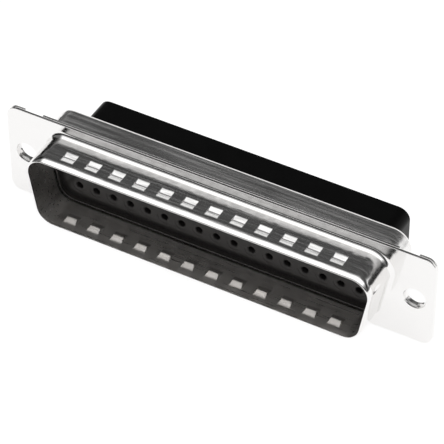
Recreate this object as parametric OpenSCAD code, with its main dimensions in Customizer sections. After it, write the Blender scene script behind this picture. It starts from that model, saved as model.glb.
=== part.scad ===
// D-subminiature plug housing for crimp contacts: three rows of contacts, the middle row one shorter.
// Two drawn steel shells are clinched together at the mounting holes and hold two moulded insulators.
// Frame: X runs along the connector, Z is up with the wide side of the D on top, -Y is the mating side.
// The origin lies on the front face of the flange, midway between the two mounting holes.

/* [Contacts] */
// Contacts in the top row and in the bottom row
row_ways = 17; // [5:1:25]
// Distance between contacts in a row
pitch = 2.77; // [2.6:0.01:3.4]
// Distance between rows
row_gap = 2.84; // [2.6:0.01:3.5]
// Diameter of the hole that a contact's pin passes through
pin_hole_d = 1.05; // [0.8:0.05:1.4]
// Diameter of the cavity that a contact is pushed into from the rear
cavity_d = 2.2; // [1.7:0.05:2.5]
// How far the ring that a contact's spring lances snap past stands in from the cavity's wall
throat_step = 0.15; // [0.05:0.01:0.3]
// Chamfer round the mouth of each hole and cavity
hole_chamfer = 0.1; // [0.05:0.01:0.12]

/* [Sheet metal] */
// Thickness of the drawn sheet
sheet = 0.4; // [0.3:0.01:0.5]
// Radius inside the bend between the front tube and its flange
bend_r = 0.75; // [0.4:0.05:0.9]
// Radius inside the bend between the rear cup and its flange
cup_bend_r = 0.4; // [0.2:0.05:0.5]

/* [Front tube] */
// Distance from the last contact of the top row to the end wall of the mouth
end_margin = 4.245; // [3.5:0.005:6]
// Distance from the top row and from the bottom row to the nearest wall of the mouth
row_margin = 2.695; // [2.2:0.005:3.5]
// Corner radius inside the mouth
mouth_r = 2.6; // [1.5:0.1:3.2]
// Slant of the two ends of the D, in degrees
slant = 10; // [5:1:15]
// How far the tube stands out in front of the flange
tube_depth = 6.03; // [5.4:0.01:8]
// Flat width left on the tube's lip inside its rounded outer edge
lip_flat = 0.05; // [0.03:0.01:0.2]
// How far behind the lip the rounding of its outer edge starts
lip_run = 1.1; // [0.3:0.05:1.4]

/* [Dimples] */
// Distance between the dimples along a wall
dimple_pitch = 3.803; // [2.8:0.001:6]
// Width of a dimple along the wall
dimple_w = 2; // [1:0.05:2.4]
// Length of a dimple along the tube
dimple_run = 1.92; // [1.4:0.01:2.4]
// Distance from a dimple's front edge to its ridge
dimple_ridge = 1; // [0.4:0.05:1.2]
// How far a dimple is pressed in
dimple_deep = 0.26; // [0.1:0.01:0.4]
// Slope of a dimple's two ends, measured along the wall
dimple_end = 0.2; // [0.05:0.05:0.5]
// Distance from the lip of the tube to a dimple's front edge
dimple_inset = 1.48; // [1:0.01:2]

/* [Flange] */
// Distance from the end wall of the mouth to a mounting hole
hole_reach = 4.15; // [3.9:0.01:6]
// Distance from a mounting hole to the end of the flange
flange_end = 2.91; // [2.7:0.01:5]
// Distance from the mouth's top and bottom walls to the edges of the flange
flange_margin = 2.15; // [1.9:0.01:4]
// Corner radius of the flange
flange_r = 1.6; // [0.5:0.1:2.5]

/* [Clinched eyelets] */
// Bore of each mounting hole
hole_d = 3.05; // [2.4:0.01:3.2]
// Wall of the collar that is drawn out of the front flange
collar_wall = 0.33; // [0.25:0.01:0.4]
// Width of the step round the bore, below the front face
step_w = 0.22; // [0.1:0.01:0.26]
// Depth of that step below the front face
step_deep = 0.28; // [0.15:0.01:0.3]
// Rounding of the step's mouth, made as a chamfer
step_chamfer = 0.1; // [0.05:0.01:0.14]
// How far the collar's end is rolled over the rear flange
roll_w = 0.55; // [0.3:0.05:0.8]
// Thickness of the rolled end
roll_t = 0.38; // [0.2:0.01:0.5]

/* [Rear shell] */
// How far the rear of the cup lies behind the front face of the flange
cup_depth = 4.9; // [3.9:0.01:6]
// Radius inside the bend between the cup's wall and its rear
rim_r = 0.2; // [0.1:0.05:0.4]
// Gap between the rear insulator and the edge of the cup's window
window_gap = 0.2; // [0.1:0.05:0.4]
// Length of a notch in the edge of the rear flange
notch_l = 2.95; // [2:0.05:3.4]
// Depth of a notch
notch_deep = 1; // [0.5:0.05:1.4]
// How far inside the nearest mounting hole's centre a notch starts
notch_reach = 2.8; // [2.2:0.05:3.2]

/* [Insulators] */
// How far the insulators' flanges reach out past the walls of the mouth
seat_w = 0.8; // [0.7:0.01:1]
// Corner radius of the insulators' flanges
seat_r = 2.55; // [2:0.05:3.2]
// Gap between an insulator and the metal round it
fit_gap = 0.05; // [0.03:0.01:0.1]
// Gap between the front insulator's rim and the wall of the mouth
rim_gap = 0.12; // [0.05:0.01:0.25]
// Width of the front insulator's raised rim
rim_w = 0.28; // [0.2:0.01:0.6]
// How far the rim stands out in front of the flange's front face
rim_out = 0.3; // [0.1:0.01:1]
// How far the field of holes lies behind the flange's front face
field_deep = 0.43; // [0:0.01:0.7]
// Thickness of the front insulator behind the flange
front_plate_t = 1.5; // [1.2:0.05:2]
// Thickness of the front insulator's wall round each pin
pin_wall_t = 0.8; // [0.5:0.05:1]
// Length of the narrow ring in the rear insulator
throat_l = 0.9; // [0.5:0.05:1.5]
// Distance from the last contact to the end of the rear block
block_end = 2.39; // [1.8:0.01:3]
// Distance from the outer rows to the top and bottom of the rear block
block_margin = 1.85; // [1.5:0.01:2.4]
// Corner radius of the rear block
block_r = 1.75; // [0.5:0.05:2.2]
// How far the rear block's rear face lies behind the front face of the flange
block_depth = 10.7; // [9:0.1:14]

/* [Hidden] */
$fn = 48;

// Sizes that follow from the rows of contacts
row_l = (row_ways - 1) * pitch;
mouth_l = row_l + 2 * end_margin;
mouth_h = 2 * (row_gap + row_margin);
hole_x = mouth_l / 2 + hole_reach;
flange_l = 2 * (hole_x + flange_end);
flange_h = mouth_h + 2 * flange_margin;
block_l = row_l + 2 * block_end;
block_h = 2 * (row_gap + block_margin);

// Corner centres of the mouth's D: they stay put however far the outline is offset
corner_x = mouth_l / 2 - mouth_r;
corner_y = mouth_h / 2 - mouth_r;
low_corner_x = corner_x - 2 * corner_y * tan(slant);

// The insulators' flanges and the cup round them have squarer corners than the mouth carried outwards
seat_squarer = mouth_r + seat_w - seat_r;

// Offsets from the wall of the mouth
bend_out = sheet + bend_r;
cup_in = seat_w + fit_gap;
cup_out = cup_in + sheet;
cup_bend_out = cup_out + cup_bend_r;

// Heights in the drawing frame of the nodes, where the front face of the flange is at 0 and forward is up
front_back = -sheet;
rear_back = -2 * sheet;
cup_floor = -cup_depth + sheet;
insulator_joint = front_back - front_plate_t;
throat_end = insulator_joint - throat_l;

// As many dimples as fit on the straight part of the narrow wall
dimple_count = floor((2 * low_corner_x - dimple_w) / dimple_pitch) + 1;
dimple_z = tube_depth - dimple_inset - dimple_run;

hole_r = hole_d / 2;
collar_r = hole_r + collar_wall;
throat_d = cavity_d - 2 * throat_step;

// Overlap between solids that are joined, and the flat stub by which a wall laps into a plate
overlap = 0.1;
stub = 0.2;

// Flat steps in each corner of the D and in each bend
corner_steps = 12;
bend_steps = 6;

// Stands a node up: drawn with the mating side up, it comes to face -Y with its wide side on top
module stand_up() {
    rotate([90, 0, 0])
        children();
}

// Both mirror halves of what is drawn on the right
module both_ends() {
    for (side = [0, 1])
        mirror([side, 0, 0])
            children();
}

// Both mirror halves of what is drawn at the top
module top_and_bottom() {
    for (side = [0, 1])
        mirror([0, side, 0])
            children();
}

// Rectangle with round corners
module rounded_rect(length, height, r) {
    square([length - 2 * r, height], center = true);
    square([length, height - 2 * r], center = true);
    both_ends()
        top_and_bottom()
            translate([length / 2 - r, height / 2 - r])
                circle(r);
}

// Points of an arc, both ends included
function arc(centre, r, from, to, steps) = [
    for (i = [0:steps])
        let (angle = from + (to - from) * i / steps)
            [centre.x + r * cos(angle), centre.y + r * sin(angle)],
];

// Outline of the D, a given distance outside the wall of the mouth, anticlockwise from the narrow side. A
// squarer one has its corner radius smaller by that amount, between the same straight walls.
function d_path(out, squarer = 0) =
    let (
        r = mouth_r + out - squarer,
        high = [corner_x + squarer * (1 + sin(slant)) / cos(slant), corner_y + squarer],
        low = [low_corner_x + squarer * (1 - sin(slant)) / cos(slant), -corner_y - squarer]
    )
        concat(
            arc(low, r, -90, -slant, corner_steps),
            arc(high, r, -slant, 90, corner_steps),
            arc([-high.x, high.y], r, 90, 180 + slant, corner_steps),
            arc([-low.x, low.y], r, 180 + slant, 270, corner_steps)
        );

module d_outline(out, squarer = 0) {
    polygon(d_path(out, squarer));
}

// Solid plate between two heights, from a flat outline
module plate(low, high) {
    translate([0, 0, low])
        linear_extrude(high - low)
            children();
}

// Carries a closed wall section round the D. In the section, x is the distance out from the wall of the
// mouth and y is the height in the drawing frame; its points run anticlockwise.
module round_the_d(section, squarer = 0) {
    around = len(d_path(0));
    rings = len(section);
    polyhedron(
        points = [
            for (q = section)
                for (p = d_path(q.x, squarer))
                    [p.x, p.y, q.y],
        ],
        faces = [
            for (i = [0:rings - 1])
                for (j = [0:around - 1])
                    let (this = i * around, above = (i + 1) % rings * around, next = (j + 1) % around)
                        [this + j, above + j, above + next, this + next],
        ]
    );
}

// Long, low rounding of the lip's outer edge, a quarter of an ellipse
function lip_curve() = [
    for (i = [0:bend_steps])
        let (angle = 90 * i / bend_steps)
            [
                lip_flat + (sheet - lip_flat) * cos(angle),
                tube_depth - lip_run + lip_run * sin(angle),
            ],
];

// Wall of the front tube: bend out of the flange, straight wall, rounded lip. The section ends in a short
// flat stub inside the flange's plate.
function tube_section() =
    let (centre = [bend_out, bend_r])
        concat(
            arc(centre, bend_out, 180, 270, bend_steps),
            [[bend_out + stub, front_back], [bend_out + stub, 0]],
            arc(centre, bend_r, 270, 180, bend_steps),
            lip_curve(),
            [[0, tube_depth]]
        );

// Wall of the rear cup: bend out of the flange, straight wall, bend into the floor, with a stub in each plate
function cup_section() =
    let (
        top = [cup_bend_out, rear_back - cup_bend_r],
        low = [cup_in - rim_r, cup_floor + rim_r]
    )
        concat(
            [[low.x - stub, cup_floor], [low.x - stub, -cup_depth]],
            arc(low, rim_r + sheet, 270, 360, bend_steps),
            arc(top, cup_bend_r, 180, 90, bend_steps),
            [[top.x + stub, rear_back], [top.x + stub, front_back]],
            arc(top, cup_bend_r + sheet, 90, 180, bend_steps),
            arc(low, rim_r, 360, 270, bend_steps)
        );

// One dimple as a solid wedge below the plane y = 0: a front and a rear slope that meet at the ridge, and
// steeper ends. A thin collar above that plane lets it cut or join cleanly.
module dimple_wedge() {
    half = dimple_w / 2;
    front = dimple_z + dimple_run;
    ridge = front - dimple_ridge;
    intersection() {
        rotate([0, -90, 0])
            linear_extrude(dimple_w, center = true)
                polygon([
                    [dimple_z, overlap], [dimple_z, 0], [ridge, -dimple_deep], [front, 0], [front, overlap],
                ]);
        plate(dimple_z, front)
            polygon([
                [-half, overlap], [-half, 0], [dimple_end - half, -dimple_deep],
                [half - dimple_end, -dimple_deep], [half, 0], [half, overlap],
            ]);
    }
}

// A row of dimples on the top wall and one on the bottom wall, a given distance out from the mouth's wall
module dimples(out) {
    top_and_bottom()
        for (i = [0:dimple_count - 1])
            translate([(i - (dimple_count - 1) / 2) * dimple_pitch, mouth_h / 2 + out, 0])
                dimple_wedge();
}

// The flange's outline, shared by both shells
module flange_outline() {
    rounded_rect(flange_l, flange_h, flange_r);
}

// Eyelet drawn out of the front flange: stepped mouth, collar through the rear flange, rolled end
module eyelet() {
    step_r = hole_r + step_w;
    roll_back = rear_back - roll_t;
    roll_r = collar_r + roll_w;
    edge = roll_t / 2;
    rotate_extrude()
        polygon([
            [step_r + step_chamfer, 0], [step_r, -step_chamfer], [step_r, -step_deep],
            [hole_r, -step_deep], [hole_r, roll_back], [roll_r - edge, roll_back],
            [roll_r, roll_back + edge], [roll_r, rear_back], [collar_r, rear_back],
            [collar_r, front_back], [roll_r, front_back], [roll_r, 0],
        ]);
}

module front_shell() {
    color("silver")
        stand_up() {
            difference() {
                union() {
                    round_the_d(tube_section());
                    dimples(0);
                }
                dimples(sheet);
            }
            plate(front_back, 0)
                difference() {
                    flange_outline();
                    d_outline(bend_out + stub / 2);
                    both_ends()
                        translate([hole_x, 0])
                            circle(collar_r + roll_w);
                }
            both_ends()
                translate([hole_x, 0, 0])
                    eyelet();
        }
}

module rear_shell() {
    notch_x = hole_x - notch_reach;
    color("lightgray")
        stand_up() {
            round_the_d(cup_section(), seat_squarer);
            plate(rear_back, front_back)
                difference() {
                    flange_outline();
                    d_outline(cup_bend_out + stub / 2, seat_squarer);
                    both_ends() {
                        translate([hole_x, 0])
                            circle(collar_r + fit_gap);
                        top_and_bottom()
                            translate([notch_x, flange_h / 2 - notch_deep])
                                square([notch_l, notch_deep + overlap]);
                    }
                }
            plate(-cup_depth, cup_floor)
                difference() {
                    d_outline(cup_in - rim_r - stub / 2, seat_squarer);
                    rounded_rect(block_l + 2 * window_gap, block_h + 2 * window_gap, block_r + window_gap);
                }
        }
}

// One child at every contact position
module at_contacts() {
    for (row = [-1:1]) {
        ways = row == 0 ? row_ways - 1 : row_ways;
        for (i = [0:ways - 1])
            translate([(i - (ways - 1) / 2) * pitch, row * row_gap])
                children();
    }
}

// Ring of slope that chamfers a hole of radius r whose mouth is in the plane z = 0 and faces up
module mouth_chamfer(r) {
    translate([0, 0, -hole_chamfer])
        cylinder(h = 2 * hole_chamfer, r1 = r, r2 = r + 2 * hole_chamfer);
}

module front_insulator() {
    field = -field_deep;
    pin_wall_back = field - pin_wall_t;
    color([0.16, 0.16, 0.17])
        stand_up() {
            plate(field, rim_out)
                difference() {
                    d_outline(-rim_gap);
                    d_outline(-rim_gap - rim_w);
                }
            difference() {
                plate(pin_wall_back, field)
                    difference() {
                        d_outline(-rim_gap);
                        at_contacts()
                            circle(d = pin_hole_d);
                    }
                at_contacts()
                    translate([0, 0, field])
                        mouth_chamfer(pin_hole_d / 2);
            }
            plate(insulator_joint, front_back)
                difference() {
                    d_outline(seat_w, seat_squarer);
                    at_contacts()
                        circle(d = cavity_d);
                }
        }
}

module rear_insulator() {
    color([0.1, 0.1, 0.11])
        stand_up() {
            plate(throat_end, insulator_joint)
                difference() {
                    d_outline(seat_w, seat_squarer);
                    at_contacts()
                        circle(d = throat_d);
                }
            plate(cup_floor + rim_r, throat_end)
                difference() {
                    d_outline(seat_w, seat_squarer);
                    at_contacts()
                        circle(d = cavity_d);
                }
            plate(cup_floor, cup_floor + rim_r)
                difference() {
                    d_outline(seat_w - rim_r, seat_squarer);
                    at_contacts()
                        circle(d = cavity_d);
                }
            difference() {
                plate(-block_depth, cup_floor)
                    difference() {
                        rounded_rect(block_l, block_h, block_r);
                        at_contacts()
                            circle(d = cavity_d);
                    }
                translate([0, 0, -block_depth])
                    mirror([0, 0, 1])
                        at_contacts()
                            mouth_chamfer(cavity_d / 2);
            }
        }
}

front_shell();
rear_shell();
front_insulator();
rear_insulator();
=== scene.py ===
"""Looks of a three-row D-sub plug housing for crimp contacts.

Two drawn, tin-plated steel shells are clinched together at the mounting holes and hold two black
nylon insulators. Every length in the functions below is in metres; x runs along the housing, z is
up and -y is the mating side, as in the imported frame.
"""

import math

import bmesh
import bpy
import numpy as np
from bpy.props import FloatProperty, FloatVectorProperty, IntProperty, PointerProperty, StringProperty
from mathutils import Matrix, Vector
from mathutils.geometry import delaunay_2d_cdt


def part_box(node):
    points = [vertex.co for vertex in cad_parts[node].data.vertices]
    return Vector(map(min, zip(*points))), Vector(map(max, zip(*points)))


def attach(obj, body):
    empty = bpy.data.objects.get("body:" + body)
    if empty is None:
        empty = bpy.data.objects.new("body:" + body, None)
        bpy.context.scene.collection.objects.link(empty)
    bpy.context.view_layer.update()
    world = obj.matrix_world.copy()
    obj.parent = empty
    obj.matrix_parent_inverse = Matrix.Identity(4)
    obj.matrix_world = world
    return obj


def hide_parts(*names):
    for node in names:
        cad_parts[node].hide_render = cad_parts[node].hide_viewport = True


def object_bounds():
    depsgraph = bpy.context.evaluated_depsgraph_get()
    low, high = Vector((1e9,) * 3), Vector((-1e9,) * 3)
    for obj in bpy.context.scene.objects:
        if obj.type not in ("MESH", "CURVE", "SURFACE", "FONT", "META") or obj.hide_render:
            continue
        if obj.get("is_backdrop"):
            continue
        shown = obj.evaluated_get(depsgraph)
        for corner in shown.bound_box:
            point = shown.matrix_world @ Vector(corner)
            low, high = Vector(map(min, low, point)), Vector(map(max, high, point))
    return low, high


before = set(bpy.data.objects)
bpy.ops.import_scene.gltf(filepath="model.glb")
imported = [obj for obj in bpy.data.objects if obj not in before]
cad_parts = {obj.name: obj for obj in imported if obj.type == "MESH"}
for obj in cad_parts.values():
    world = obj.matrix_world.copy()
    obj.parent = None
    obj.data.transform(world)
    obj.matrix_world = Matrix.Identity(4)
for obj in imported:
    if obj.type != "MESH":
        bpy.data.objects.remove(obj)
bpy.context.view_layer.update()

bl_info = {
    "name": "D-sub plug housing",
    "version": (1, 0, 0),
    "blender": (4, 5, 0),
    "location": "3D View > Sidebar > Housing",
    "description": "Builds the shells, insulators and studio of a D-sub plug housing",
    "category": "Object",
}

MM = 0.001
BODY = "root"

# the rear block that the cup's window lets through, and the corner radius of that window
BLOCK_LENGTH, BLOCK_HEIGHT, WINDOW_RADIUS = 49.1 * MM, 9.38 * MM, 1.95 * MM
# plain wall kept in the mesh on each side of a dimple
DIMPLE_MARGIN = 0.25 * MM
# a distance that no dimple reaches
FAR = 1.0
# half the width of the floor
FLOOR_HALF = 3.0

# smoothest and roughest streak of each tin finish, and the height of its streaks
BRIGHT_TIN = (0.06, 0.19, 1.5e-6)
SATIN_TIN = (0.1, 0.22, 1.5e-6)
DULL_TIN = (0.26, 0.36, 3e-6)
# specular level of the rear block and of the front insulator
LOW_SHEEN, PLAIN_SHEEN = 0.07, 0.5

# the room's radiance, by the angle from the horizon behind the housing over the top to the one in front
ROOM = ((0, 0.95), (30, 0.95), (35, 0.25), (39, 0.08), (47, 0.055), (56, 0.08), (61, 0.5), (66, 1.3),
        (118, 1.4), (127, 0.95), (133, 0.56), (145, 0.42), (152, 0.1), (158, 0.03), (180, 0.03))
# it fades to the left and right, by the x of the direction: the middle, how far from it the room is full and
# where the fade ends, and the share that is left beyond
ROOM_MIDDLE, ROOM_FULL, ROOM_END, ROOM_BEYOND = 0.1, 0.58, 0.82, 0.12


# ---------------------------------------------------------------- sizes

class ShellSizes(bpy.types.PropertyGroup):
    """Sizes of the two drawn shells"""
    sheet: FloatProperty(name="Sheet", description="Thickness of the drawn sheet",
                         default=0.4 * MM, unit="LENGTH", subtype="DISTANCE", precision=5)
    mouth_length: FloatProperty(name="Mouth length", description="Length inside the D of the front tube",
                                default=52.81 * MM, unit="LENGTH", subtype="DISTANCE", precision=5)
    mouth_height: FloatProperty(name="Mouth height", description="Height inside the D of the front tube",
                                default=11.07 * MM, unit="LENGTH", subtype="DISTANCE", precision=5)
    mouth_radius: FloatProperty(name="Mouth radius", description="Corner radius inside the mouth",
                                default=2.6 * MM, unit="LENGTH", subtype="DISTANCE", precision=5)
    slant: FloatProperty(name="Slant", description="Slant of the two ends of the D",
                         default=math.radians(10), unit="ROTATION", subtype="ANGLE")
    bend_radius: FloatProperty(name="Bend radius", description="Inside radius from the tube to its flange",
                               default=0.75 * MM, unit="LENGTH", subtype="DISTANCE", precision=5)
    lip_flat: FloatProperty(name="Lip flat", description="Flat left on the lip inside its rounded edge",
                            default=0.05 * MM, unit="LENGTH", subtype="DISTANCE", precision=5)
    lip_run: FloatProperty(name="Lip run", description="How far behind the lip its rounding starts",
                           default=1.1 * MM, unit="LENGTH", subtype="DISTANCE", precision=5)
    hole_spacing: FloatProperty(name="Hole spacing", description="Distance between the mounting holes",
                                default=61.11 * MM, unit="LENGTH", subtype="DISTANCE", precision=5)
    hole_radius: FloatProperty(name="Hole radius", description="Radius of each mounting hole",
                               default=1.525 * MM, unit="LENGTH", subtype="DISTANCE", precision=5)
    flange_radius: FloatProperty(name="Flange radius", description="Corner radius of the flange",
                                 default=1.6 * MM, unit="LENGTH", subtype="DISTANCE", precision=5)


class DimpleSizes(bpy.types.PropertyGroup):
    """Sizes of the grounding dimples in the front tube"""
    count: IntProperty(name="Count", description="Dimples on each long wall", default=12, min=1)
    pitch: FloatProperty(name="Pitch", description="Distance between neighbouring dimples",
                         default=3.803 * MM, unit="LENGTH", subtype="DISTANCE", precision=5)
    width: FloatProperty(name="Width", description="Width of a dimple along the wall",
                         default=2.0 * MM, unit="LENGTH", subtype="DISTANCE", precision=5)
    inset: FloatProperty(name="Inset", description="Distance from the lip to a dimple's front edge",
                         default=1.48 * MM, unit="LENGTH", subtype="DISTANCE", precision=5)
    front_run: FloatProperty(name="Front run", description="Length of a dimple's front slope",
                             default=0.92 * MM, unit="LENGTH", subtype="DISTANCE", precision=5)
    rear_run: FloatProperty(name="Rear run", description="Length of a dimple's rear slope",
                            default=1.0 * MM, unit="LENGTH", subtype="DISTANCE", precision=5)
    end_run: FloatProperty(name="End run", description="Length of the slope at a dimple's two ends",
                           default=0.08 * MM, unit="LENGTH", subtype="DISTANCE", precision=5)
    depth: FloatProperty(name="Depth", description="How far a dimple is pressed in",
                         default=0.165 * MM, unit="LENGTH", subtype="DISTANCE", precision=5)


class BumpSizes(bpy.types.PropertyGroup):
    """Shape that a dimple raises inside the tube, where the sheet stretched"""
    width: FloatProperty(name="Width", description="Width of a bump along the wall",
                         default=2.0 * MM, unit="LENGTH", subtype="DISTANCE", precision=5)
    inset: FloatProperty(name="Inset", description="Distance from the lip to a bump's front edge",
                         default=1.25 * MM, unit="LENGTH", subtype="DISTANCE", precision=5)
    front_run: FloatProperty(name="Front run", description="Length of a bump's front slope",
                             default=1.05 * MM, unit="LENGTH", subtype="DISTANCE", precision=5)
    rear_run: FloatProperty(name="Rear run", description="Length of a bump's rear slope",
                            default=0.8 * MM, unit="LENGTH", subtype="DISTANCE", precision=5)
    end_run: FloatProperty(name="End run", description="Length of the slope at a bump's two ends",
                           default=0.2 * MM, unit="LENGTH", subtype="DISTANCE", precision=5)
    depth: FloatProperty(name="Height", description="How far a bump stands in",
                         default=0.42 * MM, unit="LENGTH", subtype="DISTANCE", precision=5)


class CupSizes(bpy.types.PropertyGroup):
    """Sizes of the rear shell"""
    cup_out: FloatProperty(name="Cup wall", description="From the mouth's wall to the outside of the cup",
                           default=1.25 * MM, unit="LENGTH", subtype="DISTANCE", precision=5)
    squarer: FloatProperty(name="Squarer", description="How much tighter its corners are than the mouth's",
                           default=0.85 * MM, unit="LENGTH", subtype="DISTANCE", precision=5)
    bend_radius: FloatProperty(name="Bend radius", description="Inside radius between the cup and its flange",
                               default=0.4 * MM, unit="LENGTH", subtype="DISTANCE", precision=5)
    rim_radius: FloatProperty(name="Rim radius", description="Inside radius from the cup's wall to its rear",
                              default=0.2 * MM, unit="LENGTH", subtype="DISTANCE", precision=5)
    window_gap: FloatProperty(name="Window gap", description="Gap between the block and the cup's window",
                              default=0.2 * MM, unit="LENGTH", subtype="DISTANCE", precision=5)
    notch_length: FloatProperty(name="Notch length", description="Length of a notch in the flange's edge",
                                default=2.95 * MM, unit="LENGTH", subtype="DISTANCE", precision=5)
    notch_depth: FloatProperty(name="Notch depth", description="Depth of a notch in the flange's edge",
                               default=1.0 * MM, unit="LENGTH", subtype="DISTANCE", precision=5)
    notch_start: FloatProperty(name="Notch start", description="From the housing's middle to a notch",
                               default=27.755 * MM, unit="LENGTH", subtype="DISTANCE", precision=5)


class Finishes(bpy.types.PropertyGroup):
    """Colours of the housing's finishes, as sRGB hex values"""
    tin: StringProperty(name="Tin", description="Bright tin plating", default="#F1F0EF")
    # tin inside the mouth: rougher, and its colour painted a little darker as painted shade inside the tube
    rough_shaded_tin: StringProperty(name="Rubbed tin", description="Tin inside the mouth, dulled by the punch",
                               default="#EAE7E4")
    nylon: StringProperty(name="Nylon", description="Black glass-filled nylon", default="#040404")
    matt_nylon: StringProperty(name="Matt nylon", description="Dark grey nylon of the front insulator",
                               default="#343231")
    floor: StringProperty(name="Floor", description="Matt white studio floor", default="#F4F4F4")


class StudioSettings(bpy.types.PropertyGroup):
    """Camera and light of the studio"""
    azimuth: FloatProperty(name="Azimuth", description="Camera's turn to the right of the mating side",
                           default=math.radians(29.068), unit="ROTATION", subtype="ANGLE")
    elevation: FloatProperty(name="Elevation", description="Camera's height above the horizon",
                             default=math.radians(42.962), unit="ROTATION", subtype="ANGLE")
    roll: FloatProperty(name="Roll", description="Camera's turn about its own axis",
                        default=math.radians(-0.17), unit="ROTATION", subtype="ANGLE")
    distance: FloatProperty(name="Distance", description="Camera's distance from the housing",
                            default=364.0 * MM, unit="LENGTH", subtype="DISTANCE")
    aim: FloatVectorProperty(name="Aim", description="Camera's offset right of and above its target",
                             default=(0.997 * MM, 0.227 * MM), size=2, unit="LENGTH", subtype="XYZ")
    lens: FloatProperty(name="Lens", description="Focal length for a sensor 36 mm wide", default=213.97)


# ---------------------------------------------------------------- mesh tools

def arc(centre, radius, start, end, steps):
    """Points of an arc in a section, both ends included; angles in degrees."""
    angles = np.radians(np.linspace(start, end, steps + 1))
    return [(centre[0] + radius * math.cos(a), centre[1] + radius * math.sin(a)) for a in angles]


class Skin:
    """Collects the rings and faces of one closed surface."""

    def __init__(self):
        self.points = []
        self.faces = []
        # range of faces inside the mouth, which take the tin painted darker as shade
        self.shaded_inside = (0, 0)

    def ring(self, points):
        """Adds a closed ring of points and returns its vertex numbers."""
        start = len(self.points)
        self.points.extend(points)
        return list(range(start, len(self.points)))

    def join(self, first, second):
        """Quads between two rings of the same length."""
        count = len(first)
        for i in range(count):
            j = (i + 1) % count
            self.faces.append((first[i], first[j], second[j], second[i]))

    def sweep(self, rings):
        """Quads between each ring and the next."""
        for first, second in zip(rings, rings[1:]):
            self.join(first, second)

    def plate(self, rings):
        """Fills the flat region inside the first ring and outside the others, in a plane of constant y."""
        numbers = [v for ring in rings for v in ring]
        flat = [Vector((self.points[v][0] / MM, self.points[v][2] / MM)) for v in numbers]
        edges, start = [], 0
        for ring in rings:
            edges += [(start + i, start + (i + 1) % len(ring)) for i in range(len(ring))]
            start += len(ring)
        inside_edges = 1
        out = delaunay_2d_cdt(flat, edges, [], inside_edges, 1e-7)
        if len(out[0]) != len(flat):
            raise RuntimeError("a plate's outline crosses itself")
        flat = np.array(flat)
        ends = flat[np.array(edges)]
        for tri in out[2]:
            corners = [out[3][i][0] for i in tri]
            x, z = flat[corners].mean(axis=0)
            (ax, az), (bx, bz) = ends[:, 0].T, ends[:, 1].T
            spans = (az > z) != (bz > z)
            crossing = ax[spans] + (z - az[spans]) * (bx[spans] - ax[spans]) / (bz[spans] - az[spans])
            if np.count_nonzero(crossing > x) % 2:
                self.faces.append(tuple(numbers[i] for i in corners))

    def finish(self, name, material, slot, sharp=34):
        """The surface as a smooth-shaded piece; edges sharper than that angle in degrees stay sharp."""
        mesh = bpy.data.meshes.new(name)
        mesh.from_pydata([tuple(p) for p in self.points], [], self.faces)
        work = bmesh.new()
        work.from_mesh(mesh)
        bmesh.ops.recalc_face_normals(work, faces=work.faces)
        work.to_mesh(mesh)
        work.free()
        # faces inside the mouth take the rougher tin whose colour is painted darker as shade
        if self.shaded_inside[1]:
            mesh.materials.append(material)
            mesh.materials.append(rough_shaded_tin())
            for polygon in mesh.polygons[self.shaded_inside[0]:self.shaded_inside[1]]:
                polygon.material_index = 1
        mesh.polygons.foreach_set("use_smooth", [True] * len(mesh.polygons))
        mesh.set_sharp_from_angle(angle=math.radians(sharp))
        if not mesh.materials:
            mesh.materials.append(material)
        piece = bpy.data.objects.new(name, mesh)
        bpy.context.scene.collection.objects.link(piece)
        weighted = piece.modifiers.new("even flats", "WEIGHTED_NORMAL")
        weighted.keep_sharp = True
        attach(piece, BODY)
        return piece


class DOutline:
    """Stations round the mouth of the D: a point on the mouth's wall and the way out from it."""

    def __init__(self, shell, top=(), bottom=(), corner_steps=20, squarer=0.0):
        length, height, r = shell.mouth_length, shell.mouth_height, shell.mouth_radius
        tilt = shell.slant
        corner_z = height / 2 - r
        self.high_x = length / 2 - r + squarer * (1 + math.sin(tilt)) / math.cos(tilt)
        self.low_x = (length / 2 - r - 2 * corner_z * math.tan(tilt)
                      + squarer * (1 - math.sin(tilt)) / math.cos(tilt))
        self.corner_z = corner_z + squarer
        self.radius = r - squarer
        slant = math.degrees(tilt)
        rows = []

        def wall(xs, side):
            for x in xs:
                rows.append((x, side * height / 2, 0.0, float(side), side))

        def corner(cx, cz, start, end):
            for a in np.radians(np.linspace(start, end, corner_steps + 1)):
                n = (math.cos(a), math.sin(a))
                rows.append((cx + self.radius * n[0], cz + self.radius * n[1], n[0], n[1], 0))

        wall(sorted(bottom), -1)
        corner(self.low_x, -self.corner_z, -90, -slant)
        corner(self.high_x, self.corner_z, -slant, 90)
        wall(sorted(top, reverse=True), 1)
        corner(-self.high_x, self.corner_z, 90, 180 + slant)
        corner(-self.low_x, -self.corner_z, 180 + slant, 270)
        self.rows = np.array(rows)

    def at(self, out, y, sink=None):
        """Ring at a distance out from the mouth's wall and at a height y, pressed in by sink."""
        rows = self.rows
        reach = np.full(len(rows), out) if sink is None else out - sink
        x = rows[:, 0] + rows[:, 2] * reach
        z = rows[:, 1] + rows[:, 3] * reach
        return [(a, y, b) for a, b in zip(x, z)]


def rounded_rectangle(length, height, radius, steps=16):
    """Outline of a rectangle with round corners, anticlockwise."""
    x, z = length / 2 - radius, height / 2 - radius
    points = []
    for cx, cz, start in ((x, -z, -90), (x, z, 0), (-x, z, 90), (-x, -z, 180)):
        points.extend(arc((cx, cz), radius, start, start + 90, steps))
    return points


def inset(outline, amount):
    """The outline moved inwards by a small amount, corner by corner."""
    points = np.array(outline)
    along = np.roll(points, -1, axis=0) - points
    along /= np.linalg.norm(along, axis=1)[:, None]
    normal = np.stack([-along[:, 1], along[:, 0]], axis=1)
    before = np.roll(normal, 1, axis=0)
    bisector = normal + before
    bisector /= np.linalg.norm(bisector, axis=1)[:, None]
    stretch = 1 / np.sum(bisector * normal, axis=1)
    return [tuple(p) for p in points + bisector * (stretch * amount)[:, None]]


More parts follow.
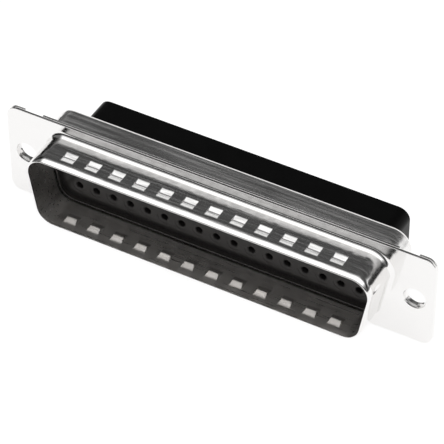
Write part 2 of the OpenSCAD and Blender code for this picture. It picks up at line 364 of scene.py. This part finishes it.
def circle(centre_x, radius, steps=64):
    return [(centre_x + radius * math.cos(a), radius * math.sin(a))
            for a in np.linspace(0, 2 * math.pi, steps, endpoint=False)]


def at_height(outline, y):
    """A flat outline as points in the plane of that y."""
    return [(x, y, z) for x, z in outline]


def flange_edge(skin, outline, front, back, front_round, back_round):
    """Sheared edge of a flange: rings from its front face round to its back face."""
    rings = []
    for angle in np.radians(np.linspace(0, 90, 5)):
        rings.append(skin.ring(at_height(inset(outline, front_round * (1 - math.sin(angle))),
                                         front + front_round * (1 - math.cos(angle)))))
    for angle in np.radians(np.linspace(90, 0, 4)):
        rings.append(skin.ring(at_height(inset(outline, back_round * (1 - math.sin(angle))),
                                         back - back_round * (1 - math.cos(angle)))))
    skin.sweep(rings)
    return rings[0], rings[-1]


# ---------------------------------------------------------------- dimples

def soft_min(a, b, blend):
    """The lower of two heights, with the crease between them rounded."""
    h = np.maximum(blend - np.abs(a - b), 0) / blend
    return np.minimum(a, b) - h * h * blend / 4


def dimple_depth(sizes, lip_y, u, y, crease, edge):
    """How far the wall is pressed in at a distance u from a dimple's middle and at a height y."""
    start = lip_y + sizes.inset
    end = start + sizes.front_run + sizes.rear_run
    front = (y - start) * (sizes.depth / sizes.front_run)
    rear = (end - y) * (sizes.depth / sizes.rear_run)
    sides = (sizes.width / 2 - np.abs(u)) * (sizes.depth / sizes.end_run)
    low = soft_min(soft_min(front, rear, crease), sides, crease)
    return -soft_min(-low, np.zeros_like(low), edge)


def dimple_columns(sizes, bump):
    """Places along a long wall where the mesh needs a column, from the dimples and the bumps behind them."""
    half = sizes.width / 2
    side = [half + DIMPLE_MARGIN]
    for run in (sizes.end_run, bump.end_run):
        side.extend(np.linspace(half + run * 0.5, half - run * 1.6, 5))
    side = np.unique(np.round(side, 7))[::-1]
    middle = np.array([-0.33, 0.0, 0.33]) * half
    one = np.concatenate([-side, middle, side[::-1]])
    centres = (np.arange(sizes.count) - (sizes.count - 1) / 2) * sizes.pitch
    return centres, np.concatenate([c + one for c in centres])


def dimple_rows(sizes, lip_y):
    """Heights along the tube where the mesh needs a row, from the dimples."""
    start = lip_y + sizes.inset
    ridge = start + sizes.front_run
    end = ridge + sizes.rear_run
    fine = np.array([-0.1, -0.05, 0, 0.05, 0.1, 0.16]) * MM
    rows = [start - DIMPLE_MARGIN, end + DIMPLE_MARGIN]
    rows.extend(start + fine)
    rows.extend(end - fine)
    rows.extend(ridge + np.array([-0.22, -0.14, -0.08, -0.04, 0, 0.04, 0.08, 0.14, 0.22]) * MM)
    rows.extend(np.linspace(start + 0.25 * MM, ridge - 0.3 * MM, 3))
    rows.extend(np.linspace(ridge + 0.3 * MM, end - 0.25 * MM, 4))
    return sorted(rows)


# ---------------------------------------------------------------- materials

def linear(hex_colour):
    """An sRGB hex colour as the linear colour that shaders take."""
    values = [int(hex_colour[i:i + 2], 16) / 255 for i in (1, 3, 5)]
    return tuple(v / 12.92 if v <= 0.04045 else ((v + 0.055) / 1.055) ** 2.4 for v in values) + (1.0,)


def add(tree, kind, links=None, **settings):
    """Adds a node, sets its sockets and properties, and links the sockets that links names."""
    node = tree.nodes.new(kind)
    for key, value in settings.items():
        socket = node.inputs.get(key.replace("_", " "))
        if hasattr(node, key):
            setattr(node, key, value)
        elif socket is not None:
            socket.default_value = value
        else:
            raise KeyError(f"{kind} has no {key}")
    for key, source in (links or {}).items():
        tree.links.new(source, node.inputs[key])
    return node


def tin_plated_steel(name, colour, smoothest, roughest, streak_height):
    """Tin plating on cold-rolled steel: a mirror, smeared round the x axis by the rolling marks.

    Its roughness runs between the two values in streaks, so grey and darker lines show along the sheet.
    """
    material = bpy.data.materials.new(name)
    material.use_nodes = True
    tree = material.node_tree
    tree.nodes.clear()
    place = add(tree, "ShaderNodeTexCoord").outputs["Object"]
    # streaks: about 0.3 mm across and 11 mm long
    streak_map = add(tree, "ShaderNodeMapping", {"Vector": place}, Scale=(90, 3200, 3200))
    streaks = add(tree, "ShaderNodeTexNoise", {"Vector": streak_map.outputs[0]},
                  Scale=1.0, Detail=4.0, Roughness=0.65)
    # slow waves left in the sheet by drawing, about 2 mm across and 5 mm long
    waves_map = add(tree, "ShaderNodeMapping", {"Vector": place}, Scale=(220, 500, 500))
    waves = add(tree, "ShaderNodeTexNoise", {"Vector": waves_map.outputs[0]}, Scale=1.0, Detail=2.0)
    wave_bump = add(tree, "ShaderNodeBump", {"Height": waves.outputs["Fac"]}, Strength=1.0, Distance=45e-6)
    bump = add(tree, "ShaderNodeBump", {"Height": streaks.outputs["Fac"], "Normal": wave_bump.outputs[0]},
               Strength=1.0, Distance=streak_height)
    rough = add(tree, "ShaderNodeMapRange", {"Value": streaks.outputs["Fac"]},
                From_Min=0.35, From_Max=0.65, To_Min=smoothest, To_Max=roughest)
    # the marks scatter light across them, round the x axis, far more than along them
    across = add(tree, "ShaderNodeTangent", direction_type="RADIAL", axis="X")
    shader = add(tree, "ShaderNodeBsdfPrincipled",
                 {"Normal": bump.outputs[0], "Roughness": rough.outputs[0], "Tangent": across.outputs[0]},
                 Base_Color=linear(colour), Metallic=1.0, Anisotropic=0.6)
    add(tree, "ShaderNodeOutputMaterial", {"Surface": shader.outputs[0]})
    return material


def moulded_nylon(name, colour, sheen):
    """Glass-filled nylon straight from the mould: near black with a low sheen and a fine, flat grain."""
    material = bpy.data.materials.new(name)
    material.use_nodes = True
    tree = material.node_tree
    tree.nodes.clear()
    place = add(tree, "ShaderNodeTexCoord").outputs["Object"]
    # grain of the spark-eroded mould, about 0.12 mm
    grain = add(tree, "ShaderNodeTexNoise", {"Vector": place}, Scale=8000.0, Detail=2.0)
    cloud = add(tree, "ShaderNodeTexNoise", {"Vector": place}, Scale=400.0, Detail=2.0)
    bump = add(tree, "ShaderNodeBump", {"Height": grain.outputs["Fac"]}, Strength=0.6, Distance=3e-6)
    rough = add(tree, "ShaderNodeMapRange", {"Value": cloud.outputs["Fac"]}, To_Min=0.28, To_Max=0.36)
    shader = add(tree, "ShaderNodeBsdfPrincipled",
                 {"Normal": bump.outputs[0], "Roughness": rough.outputs[0]},
                 Base_Color=linear(colour), IOR=1.53, Specular_IOR_Level=sheen)
    add(tree, "ShaderNodeOutputMaterial", {"Surface": shader.outputs[0]})
    return material


def settings():
    return bpy.context.scene.dsub_housing


def finish_material(name, maker, *values):
    """The named material, made once and shared by its pieces."""
    return bpy.data.materials.get(name) or maker(name, *values)


def tin():
    """Plating outside the front shell: the sharpest reflections."""
    return finish_material("tin_plated_steel_bright", tin_plated_steel, settings().finishes.tin, *BRIGHT_TIN)


def satin_tin():
    """Plating of the rear shell: a little softer."""
    return finish_material("tin_plated_steel_satin", tin_plated_steel, settings().finishes.tin, *SATIN_TIN)


def rough_shaded_tin():
    """Plating inside the mouth: rougher than outside, with its colour painted a little darker as shade inside
    the tube.
    """
    return finish_material("tin_plated_steel_drawn_dull", tin_plated_steel, settings().finishes.rough_shaded_tin,
                           *DULL_TIN)


def nylon():
    """Rear block: black, with hardly any sheen."""
    return finish_material("black_nylon_moulded", moulded_nylon, settings().finishes.nylon, LOW_SHEEN)


def matt_nylon():
    """Front insulator: dark grey, with a plain moulded sheen."""
    return finish_material("dark_grey_nylon_moulded", moulded_nylon, settings().finishes.matt_nylon,
                           PLAIN_SHEEN)


# ---------------------------------------------------------------- operators

class DSUB_OT_front_shell(bpy.types.Operator):
    """Builds the front shell: dimpled D tube, flange and clinched eyelets"""
    bl_idname = "dsub.front_shell"
    bl_label = "Front shell"

    def execute(self, context):
        shell, dimples, bump = settings().shell, settings().dimples, settings().bump
        low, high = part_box("front_shell")
        lip_y = low[1]
        centres, columns = dimple_columns(dimples, bump)
        outline = DOutline(shell, columns, columns)
        if max(abs(columns)) > outline.low_x:
            raise RuntimeError("the dimples are wider than the narrow wall")
        rows = outline.rows
        u = np.min(np.abs(rows[:, 0][:, None] - centres[None, :]), axis=1)
        u = np.where(rows[:, 4] == 0, FAR, u)

        def outer(y):
            return dimple_depth(dimples, lip_y, u, y, 0.04 * MM, 0.03 * MM)

        def inner(y):
            return dimple_depth(bump, lip_y, u, y, 0.15 * MM, 0.1 * MM)

        sheet, bend = shell.sheet, shell.bend_radius
        bend_out = sheet + bend
        lip_round = sheet - shell.lip_flat
        skin = Skin()
        section = arc((bend_out, -bend), bend, 90, 180, 14)
        walls = [skin.ring(outline.at(out, y)) for out, y in section]
        face_loop = walls[0]
        heights = dimple_rows(dimples, lip_y)
        walls += [skin.ring(outline.at(sheet, y, outer(y))) for y in reversed(heights)]
        walls += [skin.ring(outline.at(shell.lip_flat + lip_round * math.cos(a),
                                       lip_y + shell.lip_run * (1 - math.sin(a))))
                  for a in np.radians(np.linspace(0, 90, 17))]
        edge = shell.lip_flat
        walls += [skin.ring(outline.at(out, y)) for out, y in
                  arc((edge, lip_y + edge), edge, -90, -180, 4)[1:]]
        skin.sweep(walls)
        heights = dimple_rows(bump, lip_y)
        inside = [walls[-1]] + [skin.ring(outline.at(0, y, inner(y))) for y in heights]
        inside += [skin.ring(outline.at(out, y)) for out, y in arc((bend_out, -bend), bend_out, 180, 90, 14)]
        back_loop = inside[-1]
        first = len(skin.faces)
        skin.sweep(inside)
        # the faces inside the tube, which take the tin painted darker as shade
        skin.shaded_inside = (first, len(skin.faces))

        border = rounded_rectangle(high[0] - low[0], high[2] - low[2], shell.flange_radius)
        front_border, back_border = flange_edge(skin, border, 0.0, sheet, 0.05 * MM, 0.04 * MM)
        front_holes, back_holes = [], []
        for side in (-1, 1):
            rings = self.eyelet(skin, shell, side, high[1])
            front_holes.append(rings[0])
            back_holes.append(rings[-1])
        skin.plate([front_border, face_loop] + front_holes)
        skin.plate([back_border, back_loop] + back_holes)
        piece = skin.finish("front_shell_skin", tin(), "front_shell")
        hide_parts("front_shell")
        return {"FINISHED"}

    def eyelet(self, skin, shell, side, roll_back):
        """Stepped mouth, collar through the rear flange and rolled end, turned round a mounting hole."""
        r = shell.hole_radius
        sheet = shell.sheet
        step_r, step_y = r + 0.16 * MM, 0.38 * MM
        collar = r + 0.33 * MM
        roll = collar + 0.55 * MM
        roll_y = 2 * sheet
        # rounding of the mouth, chamfer and rounding of the step, rounding of the bore's end and of the roll
        soft, chamfer, neck, throat, curl = 0.03 * MM, 0.05 * MM, 0.06 * MM, 0.12 * MM, 0.19 * MM
        section = arc((step_r + soft, soft), soft, 270, 180, 5)
        section += [(step_r, step_y - chamfer), (step_r - chamfer, step_y)]
        section += arc((r + neck, step_y + neck), neck, 270, 180, 4)
        section += [(r, roll_back - 0.15 * MM)]
        section += arc((r + throat, roll_back - throat), throat, 180, 90, 4)
        section += arc((roll - curl, roll_back - curl), curl, 90, -90, 8)
        section += [(collar, roll_y), (collar, sheet)]
        centre = side * shell.hole_spacing / 2
        rings = [skin.ring(at_height(circle(centre, radius), y)) for radius, y in section]
        skin.sweep(rings)
        return rings


class DSUB_OT_rear_shell(bpy.types.Operator):
    """Builds the rear shell: notched flange and a cup with a window for the rear block"""
    bl_idname = "dsub.rear_shell"
    bl_label = "Rear shell"

    def execute(self, context):
        shell, cup = settings().shell, settings().cup
        low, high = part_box("rear_shell")
        sheet = shell.sheet
        front, back = low[1], low[1] + sheet
        rear = high[1]
        outline = DOutline(shell, corner_steps=24, squarer=cup.squarer)
        cup_in = cup.cup_out - sheet
        bend, rim = cup.bend_radius, cup.rim_radius
        bend_out = cup.cup_out + bend
        skin = Skin()
        outer = arc((bend_out, back + bend), bend, 270, 180, 10)
        outer += arc((cup_in - rim, rear - rim - sheet), rim + sheet, 0, 90, 10)
        inner = arc((bend_out, back + bend), bend + sheet, 270, 180, 10)
        inner += arc((cup_in - rim, rear - rim - sheet), rim, 0, 90, 8)
        outer_rings = [skin.ring(outline.at(out, y)) for out, y in outer]
        inner_rings = [skin.ring(outline.at(out, y)) for out, y in inner]
        skin.sweep(outer_rings)
        skin.sweep(inner_rings)

        window_l = BLOCK_LENGTH + 2 * cup.window_gap
        window_h = BLOCK_HEIGHT + 2 * cup.window_gap
        window = rounded_rectangle(window_l, window_h, WINDOW_RADIUS)
        window_rings = [skin.ring(at_height(window, y)) for y in (rear, rear - sheet)]
        skin.sweep(window_rings)
        skin.plate([outer_rings[-1], window_rings[0]])
        skin.plate([inner_rings[-1], window_rings[1]])

        border = self.border(high[0] - low[0], high[2] - low[2], shell, cup)
        front_border, back_border = flange_edge(skin, border, front, back, 0.04 * MM, 0.06 * MM)
        hole_r = shell.hole_radius + 0.38 * MM
        front_holes, back_holes = [], []
        for side in (-1, 1):
            hole = circle(side * shell.hole_spacing / 2, hole_r)
            rings = [skin.ring(at_height(hole, y)) for y in (front, back)]
            skin.sweep(rings)
            front_holes.append(rings[0])
            back_holes.append(rings[1])
        skin.plate([front_border, inner_rings[0]] + front_holes)
        skin.plate([back_border, outer_rings[0]] + back_holes)
        piece = skin.finish("rear_shell_skin", satin_tin(), "rear_shell")
        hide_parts("rear_shell")
        return {"FINISHED"}

    def border(self, length, height, shell, cup):
        """Flange outline with a square notch near each corner, anticlockwise."""
        r = shell.flange_radius
        x, z = length / 2 - r, height / 2 - r
        a, b = cup.notch_start, cup.notch_start + cup.notch_length
        edge, floor = height / 2, height / 2 - cup.notch_depth
        round_r = 0.12 * MM
        right = arc((x, -z), r, -90, 0, 12) + arc((x, z), r, 0, 90, 12)
        right = [(b, -edge)] + right + [(b, edge)]
        notch = arc((b - round_r, floor + round_r), round_r, 0, -90, 4)
        notch += arc((a + round_r, floor + round_r), round_r, 270, 180, 4)
        notch += [(a, edge)]
        top_right = right + notch
        low_notch = [(px, -pz) for px, pz in reversed(notch)]
        half = low_notch + top_right
        return half + [(-px, pz) for px, pz in reversed(half)]


class DSUB_OT_insulators(bpy.types.Operator):
    """Gives the two moulded insulators their finish"""
    bl_idname = "dsub.insulators"
    bl_label = "Insulators"

    def execute(self, context):
        for name, finish in (("front_insulator", matt_nylon()), ("rear_insulator", nylon())):
            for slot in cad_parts[name].material_slots:
                slot.material = finish
        return {"FINISHED"}


class DSUB_OT_studio(bpy.types.Operator):
    """Sets the housing on a white floor under soft studio light, with its camera"""
    bl_idname = "dsub.studio"
    bl_label = "Studio"

    def execute(self, context):
        studio = settings().studio
        scene = context.scene
        self.camera(scene, studio)
        self.floor(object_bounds()[0][2])
        self.world(scene)
        scene.view_settings.view_transform = "Standard"
        return {"FINISHED"}

    def camera(self, scene, studio):
        az, el, roll = studio.azimuth, studio.elevation, studio.roll
        back = Vector((math.sin(az) * math.cos(el), -math.cos(az) * math.cos(el), math.sin(el)))
        level = Vector((math.cos(az), math.sin(az), 0))
        upright = back.cross(level)
        right = math.cos(roll) * level + math.sin(roll) * upright
        up = math.cos(roll) * upright - math.sin(roll) * level
        place = back * studio.distance + right * studio.aim[0] + up * studio.aim[1]
        data = bpy.data.cameras.new("camera")
        data.sensor_width = 36
        data.lens = studio.lens
        data.clip_start = 0.01
        camera = bpy.data.objects.new("camera", data)
        camera.matrix_world = Matrix.Translation(place) @ Matrix((right, up, back)).transposed().to_4x4()
        scene.collection.objects.link(camera)
        scene.camera = camera

    def floor(self, z):
        corners = [(x * FLOOR_HALF, y * FLOOR_HALF, z) for x, y in ((-1, -1), (1, -1), (1, 1), (-1, 1))]
        mesh = bpy.data.meshes.new("floor")
        mesh.from_pydata(corners, [], [(0, 1, 2, 3)])
        floor = bpy.data.objects.new("floor", mesh)
        bpy.context.scene.collection.objects.link(floor)
        material = bpy.data.materials.new("matt_white_floor")
        material.use_nodes = True
        tree = material.node_tree
        tree.nodes.clear()
        paper = add(tree, "ShaderNodeBsdfDiffuse", Color=linear(settings().finishes.floor))
        # white as a background and in the metal, with a share left to the light so that the shadow shows
        glow = add(tree, "ShaderNodeEmission", Strength=0.8)
        lit = add(tree, "ShaderNodeBsdfDiffuse", Color=(0.4, 0.4, 0.4, 1))
        shown = add(tree, "ShaderNodeAddShader", {0: glow.outputs[0], 1: lit.outputs[0]})
        tree.links.new(shown.outputs[0], self.seen_mix(tree, paper.outputs[0]).inputs[2])
        mesh.materials.append(material)
        floor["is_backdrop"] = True

    def seen_mix(self, tree, plain):
        """Mix that gives its second shader to camera, glossy and transmission rays."""
        path = add(tree, "ShaderNodeLightPath")
        first = add(tree, "ShaderNodeMath",
                    {0: path.outputs["Is Camera Ray"], 1: path.outputs["Is Glossy Ray"]}, operation="MAXIMUM")
        seen = add(tree, "ShaderNodeMath", {0: first.outputs[0], 1: path.outputs["Is Transmission Ray"]},
                   operation="MAXIMUM")
        mix = add(tree, "ShaderNodeMixShader", {0: seen.outputs[0], 1: plain})
        add(tree, "ShaderNodeOutputMaterial", {"Surface": mix.outputs[0]})
        return mix

    def world(self, scene):
        """A studio room: a low white backdrop behind, dark above it, and a long softbox overhead that fades
        towards the front. The angle runs from the horizon behind, over the top, to the horizon in front."""
        world = bpy.data.worlds.new("studio_room")
        world.use_nodes = True
        tree = world.node_tree
        tree.nodes.clear()
        way = add(tree, "ShaderNodeTexCoord").outputs["Generated"]
        split = add(tree, "ShaderNodeSeparateXYZ", {0: way})
        angle = add(tree, "ShaderNodeMath", {0: split.outputs["Z"], 1: split.outputs["Y"]},
                    operation="ARCTAN2")
        share = add(tree, "ShaderNodeMath", {0: angle.outputs[0]}, operation="DIVIDE")
        share.inputs[1].default_value = math.pi
        ramp = add(tree, "ShaderNodeValToRGB", {"Fac": share.outputs[0]})
        brightest = max(radiance for _, radiance in ROOM)
        while len(ramp.color_ramp.elements) < len(ROOM):
            ramp.color_ramp.elements.new(0.5)
        for element, (degrees, radiance) in zip(ramp.color_ramp.elements, ROOM):
            element.position = degrees / 180
            element.color = (radiance / brightest,) * 3 + (1,)
        # softbox and backdrop end to the left and right
        shifted = add(tree, "ShaderNodeMath", {0: split.outputs["X"]}, operation="SUBTRACT")
        shifted.inputs[1].default_value = ROOM_MIDDLE
        to_side = add(tree, "ShaderNodeMath", {0: shifted.outputs[0]}, operation="ABSOLUTE")
        reach = add(tree, "ShaderNodeMapRange", {"Value": to_side.outputs[0]},
                    interpolation_type="SMOOTHSTEP", From_Min=ROOM_FULL, From_Max=ROOM_END,
                    To_Min=brightest, To_Max=ROOM_BEYOND * brightest)
        room = add(tree, "ShaderNodeBackground",
                   {"Color": ramp.outputs["Color"], "Strength": reach.outputs[0]})
        add(tree, "ShaderNodeOutputWorld", {"Surface": room.outputs[0]})
        scene.world = world


class HousingSettings(bpy.types.PropertyGroup):
    """All settings of the housing"""
    shell: PointerProperty(name="Shell", description="Sizes of the shells", type=ShellSizes)
    dimples: PointerProperty(name="Dimples", description="Sizes of the dimples", type=DimpleSizes)
    bump: PointerProperty(name="Bumps", description="Sizes of the bumps inside", type=BumpSizes)
    cup: PointerProperty(name="Cup", description="Sizes of the rear shell", type=CupSizes)
    finishes: PointerProperty(name="Finishes", description="Colours of the finishes", type=Finishes)
    studio: PointerProperty(name="Studio", description="Camera and light", type=StudioSettings)


OPERATORS = (DSUB_OT_front_shell, DSUB_OT_rear_shell, DSUB_OT_insulators, DSUB_OT_studio)


class DSUB_PT_housing(bpy.types.Panel):
    """Lists the housing's pieces and settings"""
    bl_idname = "DSUB_PT_housing"
    bl_label = "D-sub plug housing"
    bl_space_type = "VIEW_3D"
    bl_region_type = "UI"
    bl_category = "Housing"

    def draw(self, context):
        layout = self.layout
        for operator in OPERATORS:
            layout.operator(operator.bl_idname)
        housing = settings()
        for group in (housing.shell, housing.dimples, housing.bump, housing.cup, housing.finishes,
                      housing.studio):
            box = layout.box()
            for key in group.__annotations__:
                box.prop(group, key)


CLASSES = (ShellSizes, DimpleSizes, BumpSizes, CupSizes, Finishes, StudioSettings, HousingSettings,
           *OPERATORS, DSUB_PT_housing)


def register():
    for cls in CLASSES:
        bpy.utils.register_class(cls)
    bpy.types.Scene.dsub_housing = PointerProperty(type=HousingSettings)


def unregister():
    del bpy.types.Scene.dsub_housing
    for cls in reversed(CLASSES):
        bpy.utils.unregister_class(cls)


def main():
    register()
    for operator in OPERATORS:
        group, name = operator.bl_idname.split(".")
        getattr(getattr(bpy.ops, group), name)()


if __name__ == "__main__":
    main()
